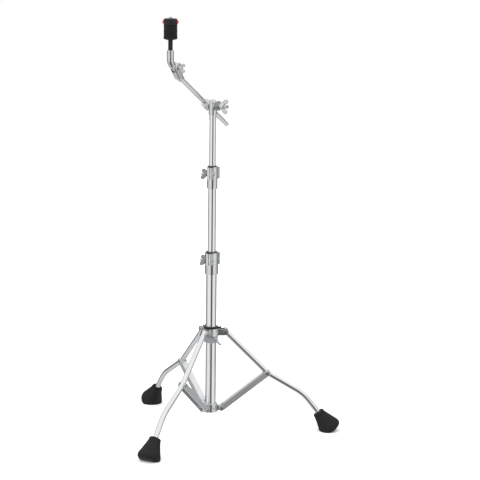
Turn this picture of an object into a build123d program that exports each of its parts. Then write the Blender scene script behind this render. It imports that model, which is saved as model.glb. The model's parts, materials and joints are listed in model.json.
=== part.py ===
from build123d import *
from math import atan2, cos, degrees, radians, sin
import os

# Cymbal boom stand, in millimetres.
# The origin is on the floor under the axis of the tubes and +Z is up.
# One leg points along +X and the boom leans towards -X and -Y.

# Telescoping tubes: outer radii, walls and heights of the ends
LOWER_R, MIDDLE_R, UPPER_R = 12.7, 9.55, 7.95
LOWER_WALL, MIDDLE_WALL, UPPER_WALL = 1.5, 1.4, 1.3
LOWER_BOTTOM = 51.0
MIDDLE_BOTTOM = 212.0
UPPER_BOTTOM = 342.0
PLUG_LIP = 3.0
PLUG_DEPTH = 12.0

# Height clamps: a split casting with a hinged jaw, on top of a tube
LOWER_CLAMP_Z, UPPER_CLAMP_Z = 384.5, 589.5
SLEEVE_WALL, SLEEVE_H = 3.0, 24.0
CLAMP_WALL, CLAMP_H = 3.4, 52.0
SLIT_AZIMUTH, JAW_HINGE_AZIMUTH = -105.0, 8.0
SLIT_HALF = 1.3
LUG_REACH, LUG_HALF = 13.5, 7.0
CLAMP_BOLT_R, CLAMP_BOLT_Z, CLAMP_BOLT_OUT = 3.0, 36.5, 8.6
CLAMP_WING_TURN = 40.0
KNUCKLE_R, KNUCKLE_OUT = 4.3, 4.2
KNUCKLE_H = (CLAMP_H - SLEEVE_H) / 3
JAW_PIN_R = 1.6
BUSH_FLANGE_H = 2.2

# Folding legs: points are (distance from the axis, height)
LEG_NAMES = ("right", "back_left", "front_left")
LEG_AZIMUTHS = (2.0, 122.0, 242.0)
LEG_R, LEG_WALL = 6.35, 1.2
LEG_PIVOT, KNEE, HUB_PIVOT = (34.0, 245.0), (136.0, 143.0), (27.0, 57.0)
BOOT_TOP = (259.0, 46.0)
KNEE_SLOPE = degrees(atan2(LEG_PIVOT[0] - KNEE[0], LEG_PIVOT[1] - KNEE[1]))
BRACE_LENGTH = (Vector(*KNEE) - Vector(*HUB_PIVOT)).length
LEG_LEAN, FOOT_RUN = 38.0, 57.6
LEG_TOP_OVERRUN = 6.0
LEG_IN_BOOT = 25.0
KNEE_BEND_R, FOOT_BEND_R = 80.0, 110.0
PIN_R, PIN_GAP = 2.4, 0.08
PIN_HEAD_R, PIN_HEAD_H = 4.4, 1.7
SIDE_GAP = 0.3

# Rubber boots: (distance along the leg from the boot's top, radius)
BOOT_OUTLINE = (
    (0, 12.6), (1.4, 14.2), (5, 15.2), (13, 17.0), (21, 19.4), (30, 22.3), (38, 25.4), (43, 27.1),
    (48, 27.4), (52.5, 26.0), (55.6, 22.5), (57, 17.0),
)
BOOT_EDGE = 3.0

# Braces: pressed channels from the hub to the knees
BRACE_HALF_DEPTH, BRACE_SHEET = 7.3, 1.6
BRACE_WEB_START, BRACE_WEB_CUT = 9.5, 8.8

# Bottom hub and sliding collar
HUB_R, HUB_BOTTOM, HUB_TOP = 17.0, 48.0, 69.0
EAR_HALF_HEIGHT = 6.0
HUB_SCREW_R, HUB_SCREW_Z = 2.5, 57.0
COLLAR_R, COLLAR_BOTTOM, COLLAR_TOP = 18.6, 235.0, 253.0
CHEEK_T, CHEEK_END_R = 3.0, 7.6
BUSH_WALL = 1.4
CAP_R, CAP_H, CAP_ARM_REACH, CAP_ARM_HALF = 17.4, 4.0, 24.2, 2.2
BAND_R, BAND_BOTTOM, RIB_COUNT, RIB_R = 15.6, 219.0, 26, 0.9
SCREW_AZIMUTH, SCREW_Z, SCREW_R, SCREW_LUG_R = -58.0, 226.0, 3.0, 6.0
SCREW_WING_TURN = -50.0
RUN_GAP = 0.08

# Boom tilter: sideways distances are along the tilt axis, which points right and to the front
TILT_AXIS_TURN = 39.0
BOOM_RISE = 36.0
TILT_Z = 786.0
HEAD_R, HEAD_BOTTOM, HEAD_SHOULDER, HEAD_TOP = 9.4, 764.0, 789.0, 800.5
UPPER_TOP = 775.0
DISC_R, DISC_FACE, DISC_T, FACE_GAP = 12.0, -11.0, 5.0, 0.3
BOOM_SIDE = -18.0
BOOM_R, BOOM_BELOW, BOOM_ABOVE = 5.25, 92.6, 129.0
GRIP_R, GRIP_HALF = 10.4, 9.0
TILT_BOLT_R, TILT_BOLT_END = 4.0, 44.5
KNOB_START, KNOB_END, KNOB_R = 9.7, 24.4, 11.6

# Cymbal tilter, at the boom's upper end
HOLDER_START, HOLDER_SOCKET_R, HOLDER_SOCKET_L = 114.0, 7.9, 12.0
ELBOW_ALONG, ELBOW_ABOVE = 145.2, 11.4
CHEEK_DISC_R, CHEEK_IN, CHEEK_OUT = 12.3, 5.2, 9.2
TONGUE_R, TONGUE_HALF = 10.8, 4.9
HOLDER_EDGE = 4.5
STEM_SET = 20.0
ARM_R, ARM_BOTTOM, ARM_TOP = 8.0, 20.0, 41.0
ELBOW_BOLT_R = 3.0
STEM_R, STEM_TOP = 4.0, 997.2
TUBE_SLEEVE_R, CUP_BOTTOM, CUP_TOP = 5.2, 944.8, 951.2
CUP_R, CUP_FOOT_R = 15.9, 9.0
FELT_R, FELT_SEAM, MATE_BOTTOM, MATE_TOP = 15.9, 961.6, 978.8, 993.2
FELT_BORE_GAP = 0.3
MATE_R, BUTTON_REACH, BUTTON_HALF_W = 15.6, 18.2, 4.6
BUTTON_LOW, BUTTON_HIGH, BUTTON_ROOT = 981.8, 989.6, 9.0
BUTTON_TRAVEL, BUTTON_GAP = 2.5, 0.3
SPRING_R, SPRING_WIRE_R, SPRING_PITCH, SPRING_LENGTH = 1.9, 0.3, 1.1, 4.8


def save(piece, name):
    piece.part.label = name
    export_step(piece.part, f"parts/{name}.step")


def fold_plane(azimuth):
    """The upright plane of one leg: x runs outwards from the tube axis, y runs up."""
    turn = radians(azimuth)
    return Plane(origin=(0, 0, 0), x_dir=(cos(turn), sin(turn), 0), z_dir=(sin(turn), -cos(turn), 0))


def turned(plane, angle):
    """The same plane, turned about its own z."""
    turn = radians(angle)
    return Plane(
        origin=plane.origin,
        x_dir=plane.x_dir * cos(turn) + plane.y_dir * sin(turn),
        z_dir=plane.z_dir,
    )


def ring(plane, height, outer, inner):
    """A plain ring, as a sketch and an extrusion in the running part."""
    with BuildSketch(plane) as section:
        Circle(outer)
        Circle(inner, mode=Mode.SUBTRACT)
    extrude(section.sketch, amount=height)


def bore(plane, radius, reach):
    """A round hole through the running part, both ways from the plane."""
    with BuildSketch(plane) as section:
        Circle(radius)
    extrude(section.sketch, amount=reach, both=True, mode=Mode.SUBTRACT)


def tube(name, outer, wall, bottom, top):
    with BuildPart() as pipe:
        ring(Plane.XY.offset(bottom), top - bottom, outer, outer - wall)
        chamfer(pipe.edges().filter_by(GeomType.CIRCLE), length=wall / 5)
    save(pipe, name)


def tube_plug(name, outer, wall, bottom):
    """A moulded end plug, pushed into the bottom of a tube."""
    with BuildPart() as plug:
        with BuildSketch(Plane.XY.offset(bottom - PLUG_LIP)):
            Circle(outer)
        extrude(amount=PLUG_LIP)
        with BuildSketch(Plane.XY.offset(bottom)):
            Circle(outer - wall)
        extrude(amount=PLUG_DEPTH)
        chamfer(plug.edges().group_by(Axis.Z)[0], length=wall / 2)
    save(plug, name)


def wing_nut(name, plane, hole, hub_r, hub_h, span, tip_r, thickness, shank=0.0, shank_r=0.0):
    """A nut or screw with two wings, standing on the plane, its wings along the plane's x."""
    upright = Plane(origin=plane.origin, x_dir=plane.x_dir, z_dir=-plane.y_dir)
    with BuildPart() as nut:
        with BuildSketch(plane):
            Circle(hub_r)
        extrude(amount=hub_h, taper=5)
        for side in (-1, 1):
            with BuildSketch(upright):
                with Locations((side * hub_r / 2, hub_h / 2)):
                    Circle(hub_h * 0.36)
                with Locations((side * (span - tip_r), hub_h + tip_r / 4)):
                    Circle(tip_r)
                make_hull()
            extrude(amount=thickness / 2, both=True)
        if hole:
            bore(plane, hole, hub_h * 3)
        if shank:
            with BuildSketch(plane):
                Circle(shank_r)
            extrude(amount=-shank)
    save(nut, name)


# ---------------------------------------------------------------- height clamps

def jaw_wedge(radius):
    """The share of the clamp's outline that belongs to the hinged jaw."""
    far = 4 * radius
    slit, hinge = radians(SLIT_AZIMUTH), radians(JAW_HINGE_AZIMUTH)
    corners = [
        (0, 0),
        (far * cos(slit), far * sin(slit)),
        (far, -far),
        (far * cos(hinge), far * sin(hinge)),
    ]
    Polygon(*corners, align=None, mode=Mode.INTERSECT)


def clamp_outline(radius):
    """The whole clamp seen from above: a ring with lugs at the slit."""
    Circle(radius + CLAMP_WALL)
    with Locations(Rot(0, 0, SLIT_AZIMUTH) * Pos(radius + LUG_REACH / 2, 0)):
        RectangleRounded(LUG_REACH + CLAMP_WALL, 2 * LUG_HALF, 3.0)


def knuckle_at(radius):
    turn = radians(JAW_HINGE_AZIMUTH)
    out = radius + KNUCKLE_OUT
    return (out * cos(turn), out * sin(turn))


def clamp_bolt_plane(radius, bottom):
    """On the clamp bolt's axis, in the slit, with z towards the wing nut."""
    turn = radians(SLIT_AZIMUTH)
    out = radius + CLAMP_BOLT_OUT
    return Plane(
        origin=(out * cos(turn), out * sin(turn), bottom + CLAMP_BOLT_Z),
        x_dir=(0, 0, 1),
        z_dir=(sin(turn), -cos(turn), 0),
    )


def knuckle(plane, height, radius, grow, mode):
    with BuildSketch(plane) as section:
        with Locations(knuckle_at(radius)):
            Circle(KNUCKLE_R + grow)
    extrude(section.sketch, amount=height, mode=mode)


def clamp_casting(prefix, radius, bottom, fit):
    base = Plane.XY.offset(bottom)
    collar = Plane.XY.offset(bottom + SLEEVE_H)
    with BuildPart() as casting:
        with BuildSketch(base):
            Circle(radius + SLEEVE_WALL)
        extrude(amount=SLEEVE_H)
        chamfer(casting.edges().group_by(Axis.Z)[0], length=0.8)
        with BuildSketch(collar):
            clamp_outline(radius)
            with BuildSketch(mode=Mode.SUBTRACT):
                clamp_outline(radius + 1)
                jaw_wedge(radius)
        extrude(amount=CLAMP_H - SLEEVE_H)
        knuckle(collar, CLAMP_H - SLEEVE_H, radius, 0, Mode.ADD)
        knuckle(collar.offset(KNUCKLE_H), KNUCKLE_H, radius, SIDE_GAP, Mode.SUBTRACT)
        bore(base, radius + fit, CLAMP_H * 2)
        with BuildSketch(base):
            with Locations(knuckle_at(radius)):
                Circle(JAW_PIN_R)
        extrude(amount=CLAMP_H * 2, mode=Mode.SUBTRACT)
        bore(clamp_bolt_plane(radius, bottom), CLAMP_BOLT_R + PIN_GAP, LUG_REACH * 2)
    save(casting, f"{prefix}_clamp_casting")


def clamp_jaw(prefix, radius, bottom):
    height = CLAMP_H - SLEEVE_H - SIDE_GAP
    collar = Plane.XY.offset(bottom + SLEEVE_H)
    low = collar.offset(SIDE_GAP)
    slit_plane = clamp_bolt_plane(radius, bottom)
    with BuildPart() as jaw:
        with BuildSketch(low):
            clamp_outline(radius)
            jaw_wedge(radius)
        extrude(amount=height)
        for outer_third in (0, 2 * KNUCKLE_H):
            knuckle(collar.offset(outer_third), KNUCKLE_H, radius, SIDE_GAP, Mode.SUBTRACT)
        with BuildSketch(slit_plane):
            Rectangle(CLAMP_H * 2, radius * 6)
        extrude(amount=-SLIT_HALF, mode=Mode.SUBTRACT)
        middle = collar.offset(KNUCKLE_H + SIDE_GAP)
        knuckle(middle, KNUCKLE_H - 2 * SIDE_GAP, radius, 0, Mode.ADD)
        bore(low, radius + SIDE_GAP / 2, CLAMP_H * 2)
        with BuildSketch(low):
            with Locations(knuckle_at(radius)):
                Circle(JAW_PIN_R)
        extrude(amount=CLAMP_H, mode=Mode.SUBTRACT)
        bore(slit_plane, CLAMP_BOLT_R + PIN_GAP, LUG_REACH * 2)
    save(jaw, f"{prefix}_clamp_jaw")


def clamp_pin(prefix, radius, bottom):
    with BuildPart() as pin:
        with BuildSketch(Plane.XY.offset(bottom + SLEEVE_H)):
            with Locations(knuckle_at(radius)):
                Circle(JAW_PIN_R)
        extrude(amount=CLAMP_H - SLEEVE_H + 0.6)
    save(pin, f"{prefix}_clamp_hinge_pin")


def clamp_bolt(prefix, radius, bottom):
    """A bolt with a flat round head against the jaw; the wing nut runs on its other end."""
    plane = clamp_bolt_plane(radius, bottom)
    head = plane.offset(-LUG_HALF - 2.6)
    with BuildPart() as bolt:
        with BuildSketch(head):
            Circle(5.0)
        extrude(amount=2.6)
        with BuildSketch(head):
            Circle(CLAMP_BOLT_R)
        extrude(amount=2 * LUG_HALF + 17)
    save(bolt, f"{prefix}_clamp_bolt")


def clamp_bush(prefix, radius, bottom, inner):
    """The split nylon bush that the jaw presses on the inner tube."""
    low = bottom + SLEEVE_H + SIDE_GAP
    with BuildPart() as bush:
        ring(Plane.XY.offset(low), CLAMP_H - SLEEVE_H - SIDE_GAP, radius - 0.1, inner + RUN_GAP)
        ring(Plane.XY.offset(bottom + CLAMP_H), BUSH_FLANGE_H, radius + 1.2, inner + RUN_GAP)
        with BuildSketch(clamp_bolt_plane(radius, bottom)):
            with Locations((0, -radius)):
                Rectangle(CLAMP_H * 2, radius * 2)
        extrude(amount=SLIT_HALF / 2, both=True, mode=Mode.SUBTRACT)
    save(bush, f"{prefix}_clamp_bush")


def height_clamp(prefix, radius, inner, bottom, fit):
    clamp_casting(prefix, radius, bottom, fit)
    clamp_jaw(prefix, radius, bottom)
    clamp_pin(prefix, radius, bottom)
    clamp_bolt(prefix, radius, bottom)
    clamp_bush(prefix, radius, bottom, inner)
    seat = clamp_bolt_plane(radius, bottom).offset(LUG_HALF + PIN_GAP)
    wings = turned(seat, CLAMP_WING_TURN)
    wing_nut(f"{prefix}_clamp_wing_nut", wings, CLAMP_BOLT_R + PIN_GAP, 5.4, 9.0, 13.5, 4.6, 4.4)


# ---------------------------------------------------------------- legs, braces, hub and collar

def along(start, angle, length):
    """A point at a distance from start, at an angle from straight down, outwards."""
    lean = radians(angle)
    return (start[0] + length * sin(lean), start[1] - length * cos(lean))


def boot_plane(azimuth):
    """At the boot's top, in the leg's upright plane, with x along the end of the leg."""
    side = fold_plane(azimuth)
    lean = radians(LEG_LEAN)
    return Plane(
        origin=side.from_local_coords((BOOT_TOP[0], BOOT_TOP[1], 0)),
        x_dir=side.x_dir * sin(lean) - side.y_dir * cos(lean),
        z_dir=side.z_dir,
    )


def leg_tube(name, azimuth):
    side = fold_plane(azimuth)
    top = along(LEG_PIVOT, -KNEE_SLOPE, -LEG_TOP_OVERRUN)
    bend = along(BOOT_TOP, LEG_LEAN, -FOOT_RUN)
    end = along(BOOT_TOP, LEG_LEAN, LEG_IN_BOOT)
    with BuildPart() as leg:
        with BuildLine(side) as route:
            FilletPolyline(top, KNEE, bend, end, radius=[KNEE_BEND_R, FOOT_BEND_R])
        path = route.wires()[0]
        with BuildSketch(Plane(origin=path @ 0, z_dir=path % 0)):
            Circle(LEG_R)
            Circle(LEG_R - LEG_WALL, mode=Mode.SUBTRACT)
        sweep(path=path)
        for pivot in (LEG_PIVOT, KNEE):
            with BuildSketch(side):
                with Locations(pivot):
                    Circle(PIN_R + PIN_GAP)
            extrude(amount=2 * LEG_R, both=True, mode=Mode.SUBTRACT)
    save(leg, name)


def rubber_boot(name, azimuth):
    """A flared boot on the end of the leg, cut level where it stands on the floor."""
    plane = boot_plane(azimuth)
    size = 4 * BOOT_OUTLINE[-1][0]
    with BuildPart() as boot:
        with BuildSketch(plane):
            with BuildLine():
                Spline(*BOOT_OUTLINE)
                Polyline(BOOT_OUTLINE[-1], (BOOT_OUTLINE[-1][0], 0), (0, 0), BOOT_OUTLINE[0])
            make_face()
        revolve(axis=Axis(plane.origin, plane.x_dir))
        with BuildSketch(Plane.XY):
            with Locations(Rot(0, 0, azimuth) * Pos(BOOT_TOP[0], 0)):
                Rectangle(size, size)
        extrude(amount=-size, mode=Mode.SUBTRACT)
        with BuildSketch(Plane(origin=plane.origin, z_dir=plane.x_dir)):
            Circle(LEG_R)
        extrude(amount=LEG_IN_BOOT, mode=Mode.SUBTRACT)
        fillet(boot.faces().sort_by(Axis.Z)[0].edges(), BOOT_EDGE)
    save(boot, name)


def brace_plane(azimuth):
    """From the hub pivot, with x along the brace and y towards its closed side."""
    side = fold_plane(azimuth)
    run = (Vector(*KNEE) - Vector(*HUB_PIVOT)).normalized()
    return Plane(
        origin=side.from_local_coords((HUB_PIVOT[0], HUB_PIVOT[1], 0)),
        x_dir=side.x_dir * run.X + side.y_dir * run.Y,
        z_dir=side.z_dir,
    )


def brace_channel(name, azimuth):
    plane = brace_plane(azimuth)
    length = BRACE_LENGTH
    half_gap = LEG_R + SIDE_GAP
    web = BRACE_HALF_DEPTH - BRACE_SHEET
    with BuildPart() as brace:
        with BuildSketch(plane):
            with Locations((length / 2, 0)):
                SlotCenterToCenter(length, 2 * BRACE_HALF_DEPTH)
        extrude(amount=half_gap + BRACE_SHEET, both=True)
        web_edges = brace.edges().filter_by(GeomType.LINE).filter_by(
            lambda e: abs((plane.to_local_coords(e.center())).Y - BRACE_HALF_DEPTH) < 0.01)
        fillet(web_edges, BRACE_SHEET * 0.8)
        with BuildSketch(plane):
            with Locations((length / 2, web - 2 * BRACE_HALF_DEPTH)):
                Rectangle(2 * length, 4 * BRACE_HALF_DEPTH)
            with Locations((BRACE_WEB_START - length / 2, 0)):
                Rectangle(length, 4 * BRACE_HALF_DEPTH)
            with Locations((1.5 * length - BRACE_WEB_CUT, 0)):
                Rectangle(length, 4 * BRACE_HALF_DEPTH)
        extrude(amount=half_gap, both=True, mode=Mode.SUBTRACT)
        with BuildSketch(plane):
            with Locations((0, 0), (length, 0)):
                Circle(PIN_R + PIN_GAP)
        extrude(amount=2 * half_gap, both=True, mode=Mode.SUBTRACT)
    save(brace, name)


def rivet(plane, half_grip):
    """A pin through the plane's origin with a low round head outside each sheet."""
    for way in (-1, 1):
        with BuildSketch(plane.offset(way * half_grip)) as head:
            Circle(PIN_HEAD_R)
        extrude(head.sketch, amount=way * PIN_HEAD_H, taper=30)
    with BuildSketch(plane.offset(-half_grip)) as shank:
        Circle(PIN_R)
    extrude(shank.sketch, amount=2 * half_grip)


def pivot_plane(azimuth, pivot):
    side = fold_plane(azimuth)
    return Plane(
        origin=side.from_local_coords((pivot[0], pivot[1], 0)),
        x_dir=side.x_dir,
        z_dir=side.z_dir,
    )


def knee_rivet(name, azimuth):
    with BuildPart() as pin:
        rivet(pivot_plane(azimuth, KNEE), LEG_R + SIDE_GAP + BRACE_SHEET + PIN_GAP)
    save(pin, name)


def hub_rivets():
    with BuildPart() as pins:
        for azimuth in LEG_AZIMUTHS:
            rivet(pivot_plane(azimuth, HUB_PIVOT), LEG_R + SIDE_GAP + BRACE_SHEET + PIN_GAP)
    save(pins, "hub_rivets")


def bottom_hub():
    """The casting at the foot of the tube, with one thick ear for each brace."""
    with BuildPart() as hub:
        with BuildSketch(Plane.XY.offset(HUB_BOTTOM)):
            Circle(HUB_R)
        extrude(amount=HUB_TOP - HUB_BOTTOM)
        for azimuth in LEG_AZIMUTHS:
            with BuildSketch(fold_plane(azimuth)):
                with Locations((HUB_PIVOT[0] / 2, HUB_PIVOT[1])):
                    Rectangle(HUB_PIVOT[0], 2 * EAR_HALF_HEIGHT)
                with Locations(HUB_PIVOT):
                    Circle(EAR_HALF_HEIGHT)
            extrude(amount=LEG_R, both=True)
        chamfer(hub.edges().group_by(Axis.Z)[-1], length=1.2)
        bore(Plane.XY, LOWER_R, HUB_TOP)
        for azimuth in LEG_AZIMUTHS:
            with BuildSketch(fold_plane(azimuth)):
                with Locations(HUB_PIVOT):
                    Circle(PIN_R + PIN_GAP)
            extrude(amount=2 * LEG_R, both=True, mode=Mode.SUBTRACT)
            bore(spoke_plane(azimuth + 60, LOWER_R, HUB_SCREW_Z), HUB_SCREW_R, HUB_R)
    save(hub, "bottom_hub")


def spoke_plane(azimuth, reach, height):
    """A plane facing outwards at a distance from the tube axis."""
    turn = radians(azimuth)
    out = (cos(turn), sin(turn), 0)
    return Plane(
        origin=(reach * out[0], reach * out[1], height),
        x_dir=(-out[1], out[0], 0),
        z_dir=out,
    )


def hub_screws():
    """Three hexagon socket grub screws that hold the hub on the tube."""
    with BuildPart() as screws:
        for azimuth in LEG_AZIMUTHS:
            plane = spoke_plane(azimuth + 60, LOWER_R, HUB_SCREW_Z)
            with BuildSketch(plane):
                Circle(HUB_SCREW_R)
            extrude(amount=HUB_R - LOWER_R - 0.4)
            with BuildSketch(plane.offset(HUB_R - LOWER_R - 2.4)):
                RegularPolygon(radius=HUB_SCREW_R / 2, side_count=6)
            extrude(amount=HUB_SCREW_R, mode=Mode.SUBTRACT)
    save(screws, "hub_screws")


def leg_collar():
    """The sliding casting with a pair of cheeks for the top of each leg."""
    half_gap = LEG_R + SIDE_GAP
    middle = (COLLAR_BOTTOM + COLLAR_TOP) / 2
    with BuildPart() as collar:
        with BuildSketch(Plane.XY.offset(COLLAR_BOTTOM)):
            Circle(COLLAR_R)
        extrude(amount=COLLAR_TOP - COLLAR_BOTTOM)
        for azimuth in LEG_AZIMUTHS:
            side = fold_plane(azimuth)
            with BuildSketch(side):
                with Locations((LEG_PIVOT[0] / 2, middle)):
                    Rectangle(LEG_PIVOT[0], COLLAR_TOP - COLLAR_BOTTOM - 3)
                with Locations(LEG_PIVOT):
                    Circle(CHEEK_END_R)
            extrude(amount=half_gap + CHEEK_T, both=True)
        for azimuth in LEG_AZIMUTHS:
            side = fold_plane(azimuth)
            with BuildSketch(side):
                with Locations((COLLAR_R + 0.8 + LEG_PIVOT[0], middle)):
                    Rectangle(2 * LEG_PIVOT[0], 3 * COLLAR_R)
            extrude(amount=half_gap, both=True, mode=Mode.SUBTRACT)
            with BuildSketch(side):
                with Locations(LEG_PIVOT):
                    Circle(PIN_R + PIN_GAP)
            extrude(amount=2 * half_gap, both=True, mode=Mode.SUBTRACT)
        bore(Plane.XY, LOWER_R + RUN_GAP + BUSH_WALL, 2 * COLLAR_TOP)
    save(collar, "leg_collar")


def collar_rivets():
    """Short studs, headed outside the cheeks; the leg turns on them in its own plane."""
    half_gap = LEG_R + SIDE_GAP
    with BuildPart() as studs:
        for azimuth in LEG_AZIMUTHS:
            plane = pivot_plane(azimuth, LEG_PIVOT)
            for way in (-1, 1):
                with BuildSketch(plane.offset(way * half_gap)):
                    Circle(PIN_R)
                extrude(amount=way * CHEEK_T)
                with BuildSketch(plane.offset(way * (half_gap + CHEEK_T))):
                    Circle(PIN_HEAD_R + 0.6)
                extrude(amount=way * PIN_HEAD_H, taper=25)
    save(studs, "collar_rivets")


def collar_bush():
    """The black nylon bush of the collar, with a rim on top and an arm over each pair of cheeks."""
    inner = LOWER_R + RUN_GAP
    with BuildPart() as bush:
        ring(Plane.XY.offset(BAND_BOTTOM + 14), COLLAR_TOP - BAND_BOTTOM - 14, inner + BUSH_WALL, inner)
        ring(Plane.XY.offset(COLLAR_TOP), CAP_H, CAP_R, inner)
        for azimuth in LEG_AZIMUTHS:
            with BuildSketch(fold_plane(azimuth)):
                with BuildLine():
                    Polyline(
                        (CAP_R - 2, COLLAR_TOP),
                        (COLLAR_R + 0.5, COLLAR_TOP),
                        (CAP_ARM_REACH, COLLAR_TOP + 1.2),
                        (CAP_ARM_REACH, COLLAR_TOP + 5.2),
                        (CAP_ARM_REACH - 2.2, COLLAR_TOP + 3.4),
                        (CAP_R - 2, COLLAR_TOP + 2.4),
                        close=True,
                    )
                make_face()
            extrude(amount=CAP_ARM_HALF, both=True)
    save(bush, "collar_bush")


def collar_band():
    """The ribbed lower ring of the collar, with a boss for the wing screw."""
    inner = LOWER_R + RUN_GAP
    boss = spoke_plane(SCREW_AZIMUTH, LOWER_R + 1, SCREW_Z)
    with BuildPart() as band:
        with BuildSketch(Plane.XY.offset(BAND_BOTTOM)):
            Circle(BAND_R)
            with PolarLocations(BAND_R, RIB_COUNT):
                Circle(RIB_R)
        extrude(amount=14)
        with BuildSketch(Plane.XY.offset(BAND_BOTTOM + 14)):
            Circle(COLLAR_R - 1)
        extrude(amount=COLLAR_BOTTOM - BAND_BOTTOM - 14)
        with BuildSketch(boss):
            Circle(SCREW_LUG_R)
        extrude(amount=9.5, taper=4)
        bore(Plane.XY, inner, 2 * COLLAR_TOP)
        with BuildSketch(Plane.XY.offset(BAND_BOTTOM + 14)):
            Circle(inner + BUSH_WALL)
        extrude(amount=COLLAR_BOTTOM - BAND_BOTTOM - 14, mode=Mode.SUBTRACT)
        bore(boss, SCREW_R + PIN_GAP, BAND_R)
    save(band, "collar_band")


def collar_wing_screw():
    seat = spoke_plane(SCREW_AZIMUTH, LOWER_R + 11, SCREW_Z)
    wing_nut("collar_wing_screw", turned(seat, SCREW_WING_TURN), 0, 4.6, 7.5, 15.5, 4.4, 4.0, 10.2, SCREW_R)


# ---------------------------------------------------------------- boom and its tilter

TURN, RISE = radians(TILT_AXIS_TURN), radians(BOOM_RISE)
TILT_AXIS = Vector(cos(TURN), -sin(TURN), 0)
BOOM_BACK = Vector(sin(TURN), cos(TURN), 0)
BOOM_VIEW = Plane(origin=(0, 0, TILT_Z), x_dir=BOOM_BACK, z_dir=TILT_AXIS)
BOOM_UP = BOOM_BACK * -cos(RISE) + Vector(0, 0, sin(RISE))


def boom_plane(distance):
    """Square to the boom, at a distance from the tilt axis, towards the cymbal."""
    place = (-distance * cos(RISE), distance * sin(RISE), BOOM_SIDE)
    return Plane(origin=BOOM_VIEW.from_local_coords(place), x_dir=TILT_AXIS, z_dir=BOOM_UP)


def tilter_head():
    """The bullet-shaped casting on the upper tube, with a toothed disc for the boom clamp."""
    dome = HEAD_TOP - HEAD_SHOULDER
    with BuildPart() as head:
        with BuildSketch(Plane.XZ):
            with BuildLine():
                Polyline((0, HEAD_SHOULDER), (0, HEAD_BOTTOM), (HEAD_R, HEAD_BOTTOM), (HEAD_R, HEAD_SHOULDER))
                Bezier(
                    (HEAD_R, HEAD_SHOULDER),
                    (HEAD_R, HEAD_SHOULDER + 0.6 * dome),
                    (0.6 * HEAD_R, HEAD_TOP),
                    (0, HEAD_TOP),
                )
                Line((0, HEAD_TOP), (0, HEAD_SHOULDER))
            make_face()
        revolve(axis=Axis.Z)
        chamfer(head.edges().group_by(Axis.Z)[0], length=0.6)
        with BuildSketch(BOOM_VIEW.offset(DISC_FACE)):
            Circle(DISC_R)
        extrude(amount=DISC_T)
        with BuildSketch(BOOM_VIEW.offset(DISC_FACE + DISC_T)):
            Circle(DISC_R)
        extrude(amount=-DISC_FACE - DISC_T, taper=35)
        with BuildSketch(BOOM_VIEW):
            Circle(TILT_BOLT_R + 3.6)
        extrude(amount=KNOB_START - PIN_GAP)
        bore(BOOM_VIEW, TILT_BOLT_R + PIN_GAP, 4 * HEAD_R)
        with BuildSketch(Plane.XY.offset(HEAD_BOTTOM)):
            Circle(UPPER_R + 0.05)
        extrude(amount=UPPER_TOP - HEAD_BOTTOM + 0.2, mode=Mode.SUBTRACT)
    save(head, "tilter_head")


def boom_clamp():
    """The half that tilts: a disc against the head, and a round grip for the boom."""
    face = DISC_FACE - FACE_GAP
    with BuildPart() as clamp:
        with BuildSketch(BOOM_VIEW.offset(face)):
            Circle(DISC_R)
        extrude(amount=-4)
        with BuildSketch(boom_plane(-GRIP_HALF)):
            Circle(GRIP_R)
        extrude(amount=2 * GRIP_HALF)
        with BuildSketch(BOOM_VIEW.offset(face)):
            Circle(4 * DISC_R)
        extrude(amount=4 * DISC_R, mode=Mode.SUBTRACT)
        with BuildSketch(boom_plane(0)):
            Circle(BOOM_R + RUN_GAP)
        extrude(amount=4 * GRIP_HALF, both=True, mode=Mode.SUBTRACT)
        bore(BOOM_VIEW.offset(face), TILT_BOLT_R, -BOOM_SIDE - BOOM_R - 0.4 + face)
    save(clamp, "boom_clamp")


def tilt_bolt():
    start = BOOM_SIDE + BOOM_R + 0.4
    with BuildPart() as bolt:
        with BuildSketch(BOOM_VIEW.offset(start)):
            Circle(TILT_BOLT_R)
        extrude(amount=TILT_BOLT_END - start)
    save(bolt, "tilt_bolt")


def tilt_washer():
    """The dark ribbed spacer between the head and the wing nut."""
    with BuildPart() as washer:
        with BuildSketch(BOOM_VIEW.offset(KNOB_START)):
            Circle(KNOB_R)
            with PolarLocations(KNOB_R, 12):
                Circle(1.6, mode=Mode.SUBTRACT)
        extrude(amount=KNOB_END - KNOB_START, taper=6)
        bore(BOOM_VIEW, TILT_BOLT_R + PIN_GAP, 4 * KNOB_R)
    save(washer, "tilt_washer")


def tilt_wing_nut():
    seat = BOOM_VIEW.offset(KNOB_END + SIDE_GAP)
    wing_nut("tilt_wing_nut", turned(seat, 84), TILT_BOLT_R + PIN_GAP, 7.2, 13.0, 17.0, 5.2, 5.0)


def boom_rod():
    with BuildPart() as rod:
        with BuildSketch(boom_plane(-BOOM_BELOW)):
            Circle(BOOM_R)
        extrude(amount=BOOM_BELOW + BOOM_ABOVE)
        chamfer(rod.edges().filter_by(GeomType.CIRCLE), length=0.7)
    save(rod, "boom_rod")


# ---------------------------------------------------------------- cymbal tilter and seat

ELBOW = BOOM_VIEW.from_local_coords((
    -ELBOW_ALONG * cos(RISE) + ELBOW_ABOVE * sin(RISE),
    ELBOW_ALONG * sin(RISE) + ELBOW_ABOVE * cos(RISE),
    BOOM_SIDE,
))
ELBOW_VIEW = Plane(origin=ELBOW, x_dir=BOOM_BACK, z_dir=TILT_AXIS)
STEM_CENTRE = ELBOW - BOOM_BACK * STEM_SET


def stem_plane(height):
    return Plane(origin=(STEM_CENTRE.X, STEM_CENTRE.Y, height), x_dir=(1, 0, 0), z_dir=(0, 0, 1))


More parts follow.
